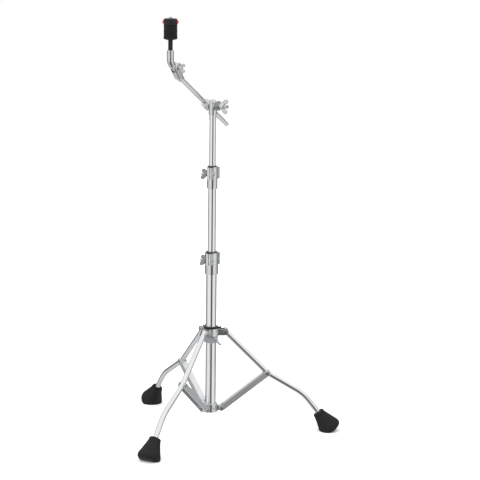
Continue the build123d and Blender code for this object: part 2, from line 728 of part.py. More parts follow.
def elbow_holder():
    """The casting on the boom's end: a socket for the boom and two round cheeks."""
    low = ELBOW_VIEW.to_local_coords(boom_plane(HOLDER_START + HOLDER_SOCKET_L).origin)
    with BuildPart() as holder:
        with BuildSketch(ELBOW_VIEW):
            Circle(CHEEK_DISC_R)
            with Locations((low.X, low.Y)):
                Circle(HOLDER_SOCKET_R)
            make_hull()
        extrude(amount=CHEEK_OUT, both=True)
        across = holder.edges().group_by(Axis(ELBOW, TILT_AXIS))
        fillet(across[0] + across[-1], HOLDER_EDGE)
        with BuildSketch(boom_plane(HOLDER_START)):
            Circle(HOLDER_SOCKET_R)
        extrude(amount=HOLDER_SOCKET_L)
        with BuildSketch(ELBOW_VIEW):
            Circle(CHEEK_DISC_R + 1.6)
        extrude(amount=CHEEK_IN, both=True, mode=Mode.SUBTRACT)
        with BuildSketch(boom_plane(HOLDER_START)):
            Circle(BOOM_R + 0.05)
        extrude(amount=BOOM_ABOVE - HOLDER_START + 0.1, mode=Mode.SUBTRACT)
        bore(ELBOW_VIEW, ELBOW_BOLT_R + PIN_GAP, 4 * CHEEK_OUT)
    save(holder, "elbow_holder")


def elbow_arm():
    """The casting that carries the stem: an upright boss curving down to the tongue."""
    with BuildPart() as arm:
        with BuildLine(ELBOW_VIEW) as route:
            upright = Line((-STEM_SET, ARM_TOP), (-STEM_SET, ARM_BOTTOM))
            TangentArc(upright @ 1, (-TONGUE_HALF, 2), tangent=upright % 1)
        path = route.wires()[0]
        with BuildSketch(Plane(origin=path @ 0, z_dir=path % 0)):
            Circle(ARM_R)
        sweep(path=path)
        fillet(arm.edges().group_by(Axis.Z)[-1], 1.8)
        for way in (-1, 1):
            with BuildSketch(ELBOW_VIEW.offset(way * TONGUE_HALF)):
                Circle(CHEEK_DISC_R + 0.8)
            extrude(amount=way * 3 * CHEEK_OUT, mode=Mode.SUBTRACT)
        with BuildSketch(ELBOW_VIEW):
            Circle(TONGUE_R)
        extrude(amount=TONGUE_HALF, both=True)
        bore(ELBOW_VIEW, ELBOW_BOLT_R + PIN_GAP, 4 * CHEEK_OUT)
        with BuildSketch(stem_plane(ELBOW.Z + ARM_BOTTOM)):
            Circle(STEM_R)
        extrude(amount=2 * ARM_TOP, mode=Mode.SUBTRACT)
    save(arm, "elbow_arm")


def elbow_nut():
    with BuildPart() as nut:
        with BuildSketch(ELBOW_VIEW.offset(-CHEEK_OUT - PIN_GAP)):
            RegularPolygon(radius=5.6, side_count=6)
        extrude(amount=-3.4)
        bore(ELBOW_VIEW, ELBOW_BOLT_R + PIN_GAP, 4 * CHEEK_OUT)
    save(nut, "elbow_nut")


def elbow_wing_bolt():
    seat = turned(ELBOW_VIEW.offset(CHEEK_OUT + PIN_GAP), 98)
    wing_nut("elbow_wing_bolt", seat, 0, 4.8, 12.5, 10.2, 3.9, 4.2, 2 * CHEEK_OUT + 4.5, ELBOW_BOLT_R)


def cymbal_stem():
    """The threaded rod that the cymbal sits on."""
    bottom = ELBOW.Z + ARM_BOTTOM
    with BuildPart() as stem:
        with BuildSketch(stem_plane(bottom)):
            Circle(STEM_R)
        extrude(amount=STEM_TOP - bottom)
        chamfer(stem.edges().group_by(Axis.Z)[-1], length=0.8)
    save(stem, "cymbal_stem")


def stem_sleeve():
    with BuildPart() as sleeve:
        ring(stem_plane(ELBOW.Z + ARM_TOP), MATE_BOTTOM - 6 - ELBOW.Z - ARM_TOP, TUBE_SLEEVE_R, STEM_R)
    save(sleeve, "stem_sleeve")


def seat_cup():
    """The moulded cup under the felts."""
    with BuildPart() as cup:
        with BuildSketch(stem_plane(CUP_BOTTOM)) as foot:
            Circle(CUP_FOOT_R)
        with BuildSketch(stem_plane(CUP_BOTTOM + 2.6)) as rim:
            Circle(CUP_R)
        loft([foot.sketch, rim.sketch])
        with BuildSketch(stem_plane(CUP_BOTTOM + 2.6)):
            Circle(CUP_R)
        extrude(amount=CUP_TOP - CUP_BOTTOM - 2.6)
        bore(stem_plane(CUP_BOTTOM), TUBE_SLEEVE_R, CUP_TOP)
    save(cup, "seat_cup")


def felt(name, bottom, top):
    with BuildPart() as pad:
        ring(stem_plane(bottom), top - bottom, FELT_R, TUBE_SLEEVE_R + FELT_BORE_GAP)
        fillet(pad.edges().filter_by(GeomType.CIRCLE).filter_by(lambda e: e.radius > FELT_R - 1), 1.2)
    save(pad, name)


def button_plane(side, reach):
    """Square to a button's travel, at a distance from the stem's axis, facing outwards."""
    middle = (BUTTON_LOW + BUTTON_HIGH) / 2
    return Plane(
        origin=(STEM_CENTRE.X + side * reach, STEM_CENTRE.Y, middle),
        x_dir=(0, side, 0),
        z_dir=(side, 0, 0),
    )


def cymbal_mate():
    """The quick-release nut's body, with a pocket for a button on each side."""
    with BuildPart() as mate:
        with BuildSketch(stem_plane(MATE_BOTTOM)):
            Circle(MATE_R)
        extrude(amount=MATE_TOP - MATE_BOTTOM)
        chamfer(mate.edges().group_by(Axis.Z)[-1], length=2.6, length2=1.6)
        for side in (-1, 1):
            with BuildSketch(button_plane(side, BUTTON_ROOT - BUTTON_TRAVEL - BUTTON_GAP)):
                RectangleRounded(2 * (BUTTON_HALF_W + BUTTON_GAP), BUTTON_HIGH - BUTTON_LOW + 2 * BUTTON_GAP, 2.2)
            extrude(amount=MATE_R, mode=Mode.SUBTRACT)
        bore(stem_plane(MATE_BOTTOM), STEM_R + BUTTON_GAP / 2, MATE_TOP)
    save(mate, "cymbal_mate")


def mate_button(name, side):
    with BuildPart() as button:
        with BuildSketch(button_plane(side, BUTTON_ROOT)):
            RectangleRounded(2 * BUTTON_HALF_W, BUTTON_HIGH - BUTTON_LOW, 2.0)
        extrude(amount=BUTTON_REACH - BUTTON_ROOT)
        fillet(button.faces().sort_by(Axis.X)[-1 if side > 0 else 0].edges(), 1.2)
        with BuildSketch(button_plane(side, BUTTON_ROOT)):
            Circle(SPRING_R + BUTTON_GAP)
        extrude(amount=SPRING_LENGTH, mode=Mode.SUBTRACT)
    save(button, name)


def button_springs():
    """A small coil spring behind each button, as long as it is with the button pressed."""
    with BuildPart() as springs:
        for side in (-1, 1):
            seat = button_plane(side, BUTTON_ROOT - BUTTON_TRAVEL - BUTTON_GAP + 1.2 * SPRING_WIRE_R)
            with BuildLine() as coil:
                Helix(
                    SPRING_PITCH,
                    SPRING_LENGTH - 3 * SPRING_WIRE_R,
                    SPRING_R - SPRING_WIRE_R,
                    center=seat.origin,
                    direction=seat.z_dir,
                )
            path = coil.wires()[0]
            with BuildSketch(Plane(origin=path @ 0, z_dir=path % 0)):
                Circle(SPRING_WIRE_R)
            sweep(path=path, is_frenet=True)
    save(springs, "button_springs")


if __name__ == "__main__":
    os.makedirs("parts", exist_ok=True)
    tube("lower_tube", LOWER_R, LOWER_WALL, LOWER_BOTTOM, LOWER_CLAMP_Z + SLEEVE_H)
    tube("middle_tube", MIDDLE_R, MIDDLE_WALL, MIDDLE_BOTTOM, UPPER_CLAMP_Z + SLEEVE_H)
    tube("upper_tube", UPPER_R, UPPER_WALL, UPPER_BOTTOM, UPPER_TOP)
    tube_plug("lower_tube_plug", LOWER_R, LOWER_WALL, LOWER_BOTTOM)
    height_clamp("lower", LOWER_R, MIDDLE_R, LOWER_CLAMP_Z, 0.0)
    height_clamp("upper", MIDDLE_R, UPPER_R, UPPER_CLAMP_Z, 0.05)

    bottom_hub()
    hub_rivets()
    hub_screws()
    leg_collar()
    collar_rivets()
    collar_bush()
    collar_band()
    collar_wing_screw()
    for leg, azimuth in zip(LEG_NAMES, LEG_AZIMUTHS):
        leg_tube(f"leg_{leg}", azimuth)
        rubber_boot(f"boot_{leg}", azimuth)
        brace_channel(f"brace_{leg}", azimuth)
        knee_rivet(f"knee_rivet_{leg}", azimuth)

    tilter_head()
    boom_clamp()
    tilt_bolt()
    tilt_washer()
    tilt_wing_nut()
    boom_rod()

    elbow_holder()
    elbow_arm()
    elbow_nut()
    elbow_wing_bolt()
    cymbal_stem()
    stem_sleeve()
    seat_cup()
    felt("lower_felt", CUP_TOP, FELT_SEAM)
    felt("upper_felt", FELT_SEAM, MATE_BOTTOM)
    cymbal_mate()
    mate_button("button_right", 1)
    mate_button("button_left", -1)
    button_springs()
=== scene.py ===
"""Cymbal boom stand: looks for its tubes, castings, rubber and felt, and its stage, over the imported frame."""
import json
import math

import bmesh
import bpy
from bpy.props import FloatProperty, FloatVectorProperty, PointerProperty
from mathutils import Matrix, Vector, noise


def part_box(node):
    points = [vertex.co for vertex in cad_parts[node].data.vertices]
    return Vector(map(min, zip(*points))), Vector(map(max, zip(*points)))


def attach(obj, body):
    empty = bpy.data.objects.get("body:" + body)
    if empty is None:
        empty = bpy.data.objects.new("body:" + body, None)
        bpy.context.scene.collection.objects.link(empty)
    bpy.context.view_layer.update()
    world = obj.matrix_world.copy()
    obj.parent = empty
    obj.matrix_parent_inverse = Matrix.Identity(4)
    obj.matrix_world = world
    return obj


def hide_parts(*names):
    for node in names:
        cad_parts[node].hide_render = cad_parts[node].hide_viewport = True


bl_info = {
    "name": "Cymbal boom stand",
    "version": (1, 0, 0),
    "blender": (4, 5, 0),
    "location": "View3D > Sidebar > Stand",
    "description": "Finishes and fine pieces for a tripod cymbal stand with a tilting boom",
    "category": "Object",
}

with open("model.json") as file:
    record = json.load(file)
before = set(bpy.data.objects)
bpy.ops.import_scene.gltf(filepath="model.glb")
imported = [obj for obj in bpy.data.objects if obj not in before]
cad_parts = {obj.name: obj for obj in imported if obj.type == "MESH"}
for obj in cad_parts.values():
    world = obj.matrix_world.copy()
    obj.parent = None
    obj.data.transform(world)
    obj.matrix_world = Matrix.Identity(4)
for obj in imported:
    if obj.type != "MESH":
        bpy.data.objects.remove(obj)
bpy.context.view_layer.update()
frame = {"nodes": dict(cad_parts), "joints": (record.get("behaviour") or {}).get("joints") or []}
NODES = frame["nodes"]
JOINTS = {joint["name"]: joint for joint in frame["joints"]}
LEGS = ("right", "back_left", "front_left")

# lengths are in metres
PINHOLE = 0.0001        # the radius at the axis of a turned shape with a solid middle
BOOT_REACH = 0.259      # from the tubes' axis to the middle of a boot's top
BOOT_TOP = 0.046        # that point's height above the floor
BOOT_LEAN = math.radians(38.0)
SOLE_EDGE = 0.0022      # how far the rounding of the sole's edge goes in
BOOT_PROFILE = (        # distance below the boot's top, and radius
    (0.0250, 0.0065), (0.0016, 0.0065), (0.0004, 0.0072), (0.0, 0.0086), (0.0, 0.0114), (0.0004, 0.0128),
    (0.0016, 0.0139), (0.0034, 0.0144), (0.0050, 0.0141), (0.0062, 0.0143), (0.0090, 0.0151),
    (0.0130, 0.0163), (0.0180, 0.0179), (0.0240, 0.0200), (0.0300, 0.0220), (0.0350, 0.0239),
    (0.0395, 0.0256), (0.0430, 0.0266), (0.0460, 0.0271), (0.0485, 0.0270), (0.0510, 0.0264),
    (0.0532, 0.0250), (0.0550, 0.0230), (0.0562, 0.0204), (0.0568, 0.0172), (0.0570, 0.0130),
    (0.0570, PINHOLE), (0.0250, PINHOLE),
)
WING_PEEL = 0.00009     # depth of the orange peel on a small casting
WASHER_TEETH = 18
WASHER_GAP = 0.00002    # what the toothed washer's bore is wider than its node's
FELT_CORNER = 0.0012    # radius of a felt's corners
FELT_WAIST = 0.0003     # how far a felt's side is pressed in at half its height
FELT_ROW = 0.0009       # height of a row of faces on a felt's side
CORNER_STEPS = 6        # rows of faces round a felt's corner


# ---------------------------------------------------------------- settings

def colour_property(label, meaning, value):
    return FloatVectorProperty(
        name=label, description=meaning, subtype="COLOR", size=3, min=0, max=1, default=value,
    )


def share_property(label, meaning, value):
    return FloatProperty(name=label, description=meaning, default=value, min=0.0, max=1.0, subtype="FACTOR")


def length_property(label, meaning, value):
    return FloatProperty(name=label, description=meaning, default=value, unit="LENGTH")


def angle_property(label, meaning, degrees):
    return FloatProperty(name=label, description=meaning, default=math.radians(degrees), subtype="ANGLE")


class StandFinishes(bpy.types.PropertyGroup):
    chrome: colour_property("Chrome", "Colour of the plated tubes", (0.80, 0.81, 0.82))
    casting: colour_property("Castings", "Colour of the plated castings", (0.66, 0.67, 0.68))
    hardware: colour_property("Bolts", "Colour of bolts, rivets and pins", (0.60, 0.61, 0.62))
    rubber: colour_property("Rubber", "Colour of the boots", (0.0075, 0.0078, 0.0082))
    nylon: colour_property("Black nylon", "Colour of the bushes, cup and nut", (0.0075, 0.0078, 0.0085))
    ribbed: colour_property("Grey nylon", "Colour of the ribbed band", (0.26, 0.27, 0.28))
    felt: colour_property("Felt", "Colour of the felts", (0.0080, 0.0082, 0.0086))
    button: colour_property("Buttons", "Colour of the release buttons", (0.52, 0.012, 0.03))
    polish: share_property("Polish", "Roughness of clean chrome", 0.045)
    smudge: share_property("Smudges", "Extra roughness where the chrome is handled", 0.09)


class StandSizes(bpy.types.PropertyGroup):
    edge: length_property("Casting edge", "Radius that the castings' edges are seen with", 0.0006)
    voxel: length_property("Wing detail", "Size of the smallest shape on a wing nut", 0.0004)
    fuzz: length_property("Felt fuzz", "How far the felt's fibres stand out", 0.00022)
    lens: FloatProperty(name="Lens", description="Focal length of the camera, in millimetres", default=145.25)
    camera_height: length_property("Camera height", "Height of the camera above the floor", 1.3145)
    camera_distance: length_property("Camera distance", "Distance of the camera in front of the tubes", 4.5)
    camera_side: length_property("Camera side", "How far right of the tubes the camera stands", 0.0668)
    camera_pitch: angle_property("Camera pitch", "How far down the camera looks", 10.668)
    camera_roll: angle_property("Camera roll", "How far the camera leans", 0.641)


# ---------------------------------------------------------------- shader maths

class Wire:
    """A shader socket that does sums with other sockets and numbers, each sum a Math node."""

    def __init__(self, finish, socket):
        self.finish = finish
        self.socket = socket

    def maths(self, operation, first, second):
        return self.finish.node("ShaderNodeMath", {"operation": operation}, {0: first, 1: second})

    def __add__(self, other):
        return self.maths("ADD", self, other)

    def __radd__(self, other):
        return self.maths("ADD", other, self)

    def __sub__(self, other):
        return self.maths("SUBTRACT", self, other)

    def __rsub__(self, other):
        return self.maths("SUBTRACT", other, self)

    def __mul__(self, other):
        return self.maths("MULTIPLY", self, other)

    def __rmul__(self, other):
        return self.maths("MULTIPLY", other, self)

    def __truediv__(self, other):
        return self.maths("DIVIDE", self, other)

    def __rtruediv__(self, other):
        return self.maths("DIVIDE", other, self)


class Finish:
    """The node tree of one material or world."""

    def __init__(self, owner):
        owner.use_nodes = True
        self.owner = owner
        self.tree = owner.node_tree
        self.tree.nodes.clear()

    def node(self, kind, settings=None, inputs=None, output=0):
        """Makes a node with its settings, fills its sockets and gives back one of its outputs."""
        made = self.tree.nodes.new(kind)
        for key, value in (settings or {}).items():
            if key == "stops":
                self.fill_ramp(made.color_ramp, value)
            else:
                setattr(made, key, value)
        for key, value in (inputs or {}).items():
            if isinstance(value, Wire):
                self.tree.links.new(value.socket, made.inputs[key])
            else:
                made.inputs[key].default_value = value
        if not made.outputs:
            return None
        return Wire(self, made.outputs[output])

    @staticmethod
    def fill_ramp(ramp, stops):
        """Sets a ramp's stops from (place, grey) pairs."""
        while len(ramp.elements) < len(stops):
            ramp.elements.new(0.5)
        for element, (place, value) in zip(ramp.elements, stops):
            element.position = place
            element.color = (value, value, value, 1)

    def ramp(self, factor, stops):
        return self.node("ShaderNodeValToRGB", {"stops": stops}, {"Fac": factor})

    def place(self):
        return self.node("ShaderNodeTexCoord", output="Object")

    def noise(self, scale, detail=3.0, roughness=0.5, stretch=None):
        where = self.place()
        if stretch:
            where = self.node("ShaderNodeMapping", {}, {"Vector": where, "Scale": stretch})
        sockets = {"Vector": where, "Scale": scale, "Detail": detail, "Roughness": roughness}
        return self.node("ShaderNodeTexNoise", {}, sockets)

    def tint(self, factor, first, second):
        """A colour between two others, each of them a plain colour or a wire."""
        first, second = (end if isinstance(end, Wire) else (*end, 1) for end in (first, second))
        # a Mix node's sockets 6 and 7 are its two colours, and its output 2 is the mixed one
        return self.node("ShaderNodeMix", {"data_type": "RGBA"}, {"Factor": factor, 6: first, 7: second}, 2)

    def soft_edges(self, radius):
        """A normal that shows sharp edges as rounded ones."""
        return self.node("ShaderNodeBevel", {"samples": 4}, {"Radius": radius})

    def bump(self, height, distance, strength=1.0, normal=None):
        sockets = {"Height": height, "Distance": distance, "Strength": strength}
        if normal:
            sockets["Normal"] = normal
        return self.node("ShaderNodeBump", {}, sockets)

    def surface(self, **sockets):
        """Ends the material in one shader, with its sockets' names written with underscores."""
        values = {key.replace("_", " "): value for key, value in sockets.items()}
        shader = self.node("ShaderNodeBsdfPrincipled", {}, values)
        self.node("ShaderNodeOutputMaterial", {}, {"Surface": shader})
        return self.owner


def new_finish(name):
    return Finish(bpy.data.materials.new(name))


def shade(colour, share):
    """The same colour, darker or lighter."""
    return tuple(min(1.0, channel * share) for channel in colour)


# ---------------------------------------------------------------- finishes

def tube_chrome(name, colour, looks, stretch):
    """Polished plate on drawn tube, with faint draw lines and a few handled patches."""
    f = new_finish(name)
    lines = f.noise(900.0, 2.0, 0.6, stretch)
    handled = f.ramp(f.noise(14.0, 4.0, 0.6), [(0.46, 0.0), (0.72, 1.0)])
    rough = looks.polish + handled * looks.smudge
    bright = f.tint(handled * 0.5 + lines * 0.18, colour, shade(colour, 0.93))
    return f.surface(Base_Color=bright, Metallic=1.0, Roughness=rough)


def cast_chrome(name, colour, looks, edge, peel=0.00006, satin=0.0):
    """Plate over a cast or forged shape: soft edges, a slight orange peel and darker, rougher handled patches.
    """
    f = new_finish(name)
    ripple = f.noise(190.0, 2.0, 0.45)
    grain = f.noise(1500.0, 2.0, 0.5)
    handled = f.ramp(f.noise(45.0, 4.0, 0.6), [(0.42, 0.0), (0.75, 1.0)])
    rough = looks.polish * 1.3 + satin + handled * looks.smudge + grain * 0.03
    tone = f.tint(handled * 0.7, colour, shade(colour, 0.86))
    rounded = f.soft_edges(edge)
    normal = f.bump(ripple + grain * 0.06, peel, 0.5, rounded)
    return f.surface(Base_Color=tone, Metallic=1.0, Roughness=rough, Normal=normal)


def plated_steel(name, colour, edge):
    """Bright plate on turned steel: a finer grain with stains, a little duller than the chrome."""
    f = new_finish(name)
    turned = f.noise(2600.0, 3.0, 0.6)
    stain = f.ramp(f.noise(210.0, 4.0, 0.6), [(0.45, 0.0), (0.8, 1.0)])
    tone = f.tint(stain, colour, shade(colour, 0.7))
    rough = 0.16 + turned * 0.12 + stain * 0.1
    normal = f.bump(turned, 0.00001, 0.5, f.soft_edges(edge * 0.6))
    return f.surface(Base_Color=tone, Metallic=1.0, Roughness=rough, Normal=normal)


def boot_rubber(name, colour):
    """Moulded rubber: fine pebble, a dusty bloom and scuffs low down where it meets the floor."""
    f = new_finish(name)
    pebble = f.noise(1300.0, 3.0, 0.55)
    bloom = f.ramp(f.noise(38.0, 5.0, 0.6), [(0.40, 0.0), (0.80, 1.0)])
    height = f.node("ShaderNodeSeparateXYZ", {}, {"Vector": f.place()}, "Z")
    low = f.ramp(height * 60.0, [(0.0, 1.0), (0.45, 0.0)])
    scuff = f.ramp(f.noise(260.0, 5.0, 0.7), [(0.52, 0.0), (0.66, 1.0)])
    dusty = f.tint(bloom * 0.35, colour, shade(colour, 2.3))
    paled = f.tint(low * scuff * 0.4, dusty, shade(colour, 5.0))
    rough = 0.50 + bloom * 0.14 + pebble * 0.08
    normal = f.bump(pebble, 0.00008, 0.7)
    return f.surface(Base_Color=paled, Roughness=rough, Specular_IOR_Level=0.20, Normal=normal)


def moulded_nylon(name, colour, gloss, edge):
    """Injection-moulded plastic with a spark-eroded grain."""
    f = new_finish(name)
    grain = f.noise(2200.0, 2.0, 0.5)
    flow = f.noise(70.0, 3.0, 0.5)
    tone = f.tint(flow, shade(colour, 0.9), shade(colour, 1.25))
    rough = gloss + grain * 0.1 + flow * 0.06
    normal = f.bump(grain, 0.00003, 0.5, f.soft_edges(edge))
    return f.surface(Base_Color=tone, Roughness=rough, Specular_IOR_Level=0.28, Normal=normal)


def pressed_felt(name, colour):
    """Pressed wool: matted fibres of several tones, with a painted sheen that makes the fibres paler where they
    stand out.
    """
    f = new_finish(name)
    matted = f.noise(420.0, 6.0, 0.75)
    layered = f.node("ShaderNodeMapping", {}, {"Vector": f.place(), "Scale": (1.0, 1.0, 2.4)})
    sockets = {"Vector": layered, "Scale": 1500.0}
    fibre = f.node("ShaderNodeTexVoronoi", {"feature": "DISTANCE_TO_EDGE"}, sockets)
    strands = f.ramp(fibre, [(0.0, 1.0), (0.11, 0.0)])
    tone = f.tint(f.ramp(matted, [(0.35, 0.0), (0.7, 1.0)]), shade(colour, 0.7), shade(colour, 1.9))
    # painted sheen: the raised fibres are painted paler
    tone = f.tint(strands * 0.3, tone, shade(colour, 3.2))
    normal = f.bump(matted + strands * 0.35, 0.0004, 0.8)
    return f.surface(
        Base_Color=tone, Roughness=0.95, Sheen_Weight=0.06, Sheen_Roughness=0.5, Specular_IOR_Level=0.08,
        Normal=normal,
    )


def button_plastic(name, colour, edge):
    """Glossy red plastic with a faint moulding flow."""
    f = new_finish(name)
    flow = f.noise(160.0, 3.0, 0.5)
    tone = f.tint(flow, shade(colour, 0.85), shade(colour, 1.15))
    normal = f.bump(f.noise(900.0, 1.0), 0.00001, 0.4, f.soft_edges(edge))
    rough = 0.24 + flow * 0.1
    return f.surface(Base_Color=tone, Roughness=rough, Coat_Weight=0.4, Coat_Roughness=0.12, Normal=normal)


def give(finish, *names):
    """Puts a finish on CAD nodes."""
    for name in names:
        mesh = NODES[name].data
        mesh.materials.clear()
        mesh.materials.append(finish)


# ---------------------------------------------------------------- meshes

def add_piece(name, mesh, finish, body, node):
    """Links a new piece, in the place of a CAD node, to the body that the node rides on."""
    piece = bpy.data.objects.new(name, mesh)
    bpy.context.scene.collection.objects.link(piece)
    mesh.materials.clear()
    mesh.materials.append(finish)
    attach(piece, body)
    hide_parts(node)
    return piece


def skin_of(name, bm):
    """A mesh made of what bm holds, with its faces' normals outwards."""
    mesh = bpy.data.meshes.new(name)
    bmesh.ops.recalc_face_normals(bm, faces=bm.faces)
    bm.to_mesh(mesh)
    bm.free()
    return mesh


def turned_shape(bm, profile, around, sides):
    """Adds a closed ring, turned about z from (height, radius) pairs and moved to its place by around."""
    rings = []
    for height, radius in profile:
        ring = []
        for step in range(sides):
            angle = 2 * math.pi * step / sides
            point = Vector((radius * math.cos(angle), radius * math.sin(angle), height))
            ring.append(bm.verts.new(around @ point))
        rings.append(ring)
    for lower, upper in zip(rings, rings[1:] + rings[:1]):
        for step in range(sides):
            after = (step + 1) % sides
            bm.faces.new((lower[step], lower[after], upper[after], upper[step]))


def lobe_shape(bm, centre, half_sizes, around, power=2.4, sides=32):
    """Adds a pad with rounded faces: a ball that is squarer than an ellipsoid."""
    grown = bmesh.ops.create_uvsphere(bm, u_segments=sides, v_segments=sides // 2, radius=1.0)
    for vert in grown["verts"]:
        size = sum(abs(c) ** power for c in vert.co) ** (1 / power)
        unit = vert.co / size
        shaped = Vector(u * h for u, h in zip(unit, half_sizes))
        vert.co = around @ (centre + shaped)


def cast_in_one(name, bm, voxel):
    """Melts overlapping shapes into one closed skin with soft corners, as a casting has."""
    rough = bpy.data.objects.new(name + "_rough", skin_of(name, bm))
    bpy.context.scene.collection.objects.link(rough)
    melt = rough.modifiers.new("melt", "REMESH")
    melt.mode = "VOXEL"
    melt.voxel_size = voxel
    soften = rough.modifiers.new("soften", "SMOOTH")
    soften.factor = 0.5
    soften.iterations = 4
    thin = rough.modifiers.new("thin", "DECIMATE")
    thin.ratio = 0.5
    view = bpy.context.evaluated_depsgraph_get()
    cast = bpy.data.meshes.new_from_object(rough.evaluated_get(view))
    cast.name = name
    bpy.data.objects.remove(rough)
    cast.shade_smooth()
    return cast


def axis_placement(node, joint):
    """A wing nut's place, z along its bolt and x towards a wing, with its lowest, highest and widest reach."""
    origin = Vector(JOINTS[joint]["pos_m"])
    axis = Vector(JOINTS[joint]["axis"]).normalized()
    offsets = [vertex.co - origin for vertex in NODES[node].data.vertices]
    heights = [offset.dot(axis) for offset in offsets]
    across = [offset - axis * height for offset, height in zip(offsets, heights)]
    far = max(across, key=lambda offset: offset.length)
    side = far.normalized()
    # the furthest vertex lies on one face of the wing, and the middle of the wing's tip sets x right
    other = axis.cross(side)
    wing = [offset for offset in across if offset.dot(side) > far.length * 0.93]
    lean = sum(offset.dot(other) for offset in wing) / len(wing)
    side = (side * far.length + other * lean).normalized()
    around = Matrix.Translation(origin) @ Matrix((side, axis.cross(side), axis)).transposed().to_4x4()
    return around, min(heights), max(heights), far.length


def wing_shape(bm, around, base, top, span, hub, bore, thickness, lobe):
    """Adds a hub ring and two upswept wings that grow out of it."""
    rise = top - base
    deck = base + rise * 0.46
    profile = [
        (base, bore), (base, hub * 0.96), (base + 0.0006, hub), (deck * 0.5 + base * 0.5, hub * 0.95),
        (deck, hub * 0.86), (deck + 0.0008, hub * 0.74), (deck + 0.0010, bore),
    ]
    turned_shape(bm, profile, around, 48)
    for side in (-1, 1):
        tip = Vector((side * (span - lobe), 0.0, top - lobe))
        lobe_shape(bm, tip, (lobe, thickness * 0.5, lobe), around, 2.6)
        root = Vector((side * (hub * 0.86), 0.0, base + rise * 0.28))
        for step in range(1, 7):
            share = step / 7
            bend = math.sin(share * math.pi) * -0.0009
            centre = root.lerp(tip, share) + Vector((0.0, 0.0, bend))
            size = lobe * (0.62 + 0.38 * share)
            lobe_shape(bm, centre, (size, thickness * (0.56 - 0.06 * share), size), around, 2.4, 20)


# ---------------------------------------------------------------- operators

class STAND_OT_tubes(bpy.types.Operator):
    """Chrome on the telescoping tubes, the boom rod, the legs and their braces"""

    bl_idname = "stand.tubes"
    bl_label = "Tubes, legs and braces"

    def execute(self, context):
        looks = context.scene.stand_finishes
        edge = context.scene.stand_sizes.edge
        upright = tube_chrome("upright_tube_chrome", looks.chrome, looks, (1.0, 1.0, 0.03))
        give(upright, "lower_tube", "middle_tube", "upper_tube")
        bent = tube_chrome("bent_tube_chrome", looks.chrome, looks, (0.6, 0.6, 0.6))
        give(bent, "boom_rod", *["leg_" + leg for leg in LEGS])
        pressed = cast_chrome("pressed_brace_chrome", looks.chrome, looks, edge * 0.7, 0.00003, 0.32)
        give(pressed, *["brace_" + leg for leg in LEGS])
        return {"FINISHED"}


class STAND_OT_castings(bpy.types.Operator):
    """Plated castings: clamps, hub, collar, tilter and elbow"""

    bl_idname = "stand.castings"
    bl_label = "Castings"

    def execute(self, context):
        looks = context.scene.stand_finishes
        edge = context.scene.stand_sizes.edge
        plated = cast_chrome("cast_chrome", looks.casting, looks, edge)
        give(
            plated, "lower_clamp_casting", "lower_clamp_jaw", "upper_clamp_casting", "upper_clamp_jaw",
            "tilter_head", "boom_clamp", "elbow_holder", "elbow_arm",
        )
        tumbled = cast_chrome("tumbled_chrome", looks.casting, looks, edge, satin=0.17)
        give(tumbled, "bottom_hub", "leg_collar")
        return {"FINISHED"}


class STAND_OT_hardware(bpy.types.Operator):
    """Bolts, rivets, pins, the threaded stem and the springs"""

    bl_idname = "stand.hardware"
    bl_label = "Bolts and rivets"

    def execute(self, context):
        looks = context.scene.stand_finishes
        bright = plated_steel("plated_steel", looks.hardware, context.scene.stand_sizes.edge)
        give(
            bright, "lower_clamp_hinge_pin", "upper_clamp_hinge_pin", "lower_clamp_bolt", "upper_clamp_bolt",
            "hub_rivets", "hub_screws", "collar_rivets", "tilt_bolt", "elbow_nut", "cymbal_stem",
            "button_springs", *["knee_rivet_" + leg for leg in LEGS],
        )
        return {"FINISHED"}


class STAND_OT_wing_nuts(bpy.types.Operator):
    """The three wing nuts, the collar's wing screw and the elbow's wing bolt, each cast in one"""

    bl_idname = "stand.wing_nuts"
    bl_label = "Wing nuts"

    def execute(self, context):
        looks = context.scene.stand_finishes
        sizes = context.scene.stand_sizes
        edge = sizes.edge * 0.5
        plated = cast_chrome("wing_chrome", looks.casting, looks, edge, WING_PEEL)
        # painted shade: the clamps' wing nuts are plated like the other castings, and their colour is darkened
        # to 0.42 of the castings' colour
        painted_shade_wing_chrome = cast_chrome("clamp_wing_painted_shade_chrome", shade(looks.casting, 0.42), looks, edge, WING_PEEL, 0.08)
        # reach is the wings' span as a share of the node's, and a shank of 0 means a nut
        clamp_sizes = 0.0054, 0.0031, 0.0044, 0.0050, 0.0, 1.0
        for node, turn, body, (hub, bore, thickness, lobe, shank, reach) in (
            ("lower_clamp_wing_nut", "lower_wing_turn", "lower_wing", clamp_sizes),
            ("upper_clamp_wing_nut", "upper_wing_turn", "upper_wing", clamp_sizes),
            ("tilt_wing_nut", "tilt_wing_turn", "tilt_wing", (0.0072, 0.0041, 0.0050, 0.0052, 0.0, 1.0)),
            ("collar_wing_screw", "collar_screw_turn", "collar_screw",
             (0.0046, 0.0008, 0.0046, 0.0050, 0.0030, 0.82)),
            ("elbow_wing_bolt", "elbow_wing_turn", "elbow_wing", (0.0048, 0.0008, 0.0042, 0.0039, 0.0030, 1.0)),
        ):
            around, low, high, furthest = axis_placement(node, turn)
            bm = bmesh.new()
            base = low
            if shank:
                inverse = around.inverted()
                local = [inverse @ vertex.co for vertex in NODES[node].data.vertices]
                base = min(co.z for co in local if math.hypot(co.x, co.y) > shank * 1.2)
                profile = [
                    (low, PINHOLE), (low, shank * 0.85), (low + 0.0005, shank), (base + 0.002, shank),
                    (base + 0.002, PINHOLE),
                ]
                turned_shape(bm, profile, around, 40)
            wing_shape(bm, around, base, high, furthest * reach, hub, bore, thickness, lobe)
            if shank:
                rise = high - base
                crown = Vector((0, 0, base + rise * 0.40))
                lobe_shape(bm, crown, (hub * 0.8, hub * 0.8, rise * 0.2), around)
            mesh = cast_in_one(node + "_cast", bm, sizes.voxel)
            # the clamps' wing nuts take the chrome that is darkened with painted shade
            finish = painted_shade_wing_chrome if "clamp" in node else plated
            add_piece(node + "_cast", mesh, finish, body, node)
        return {"FINISHED"}


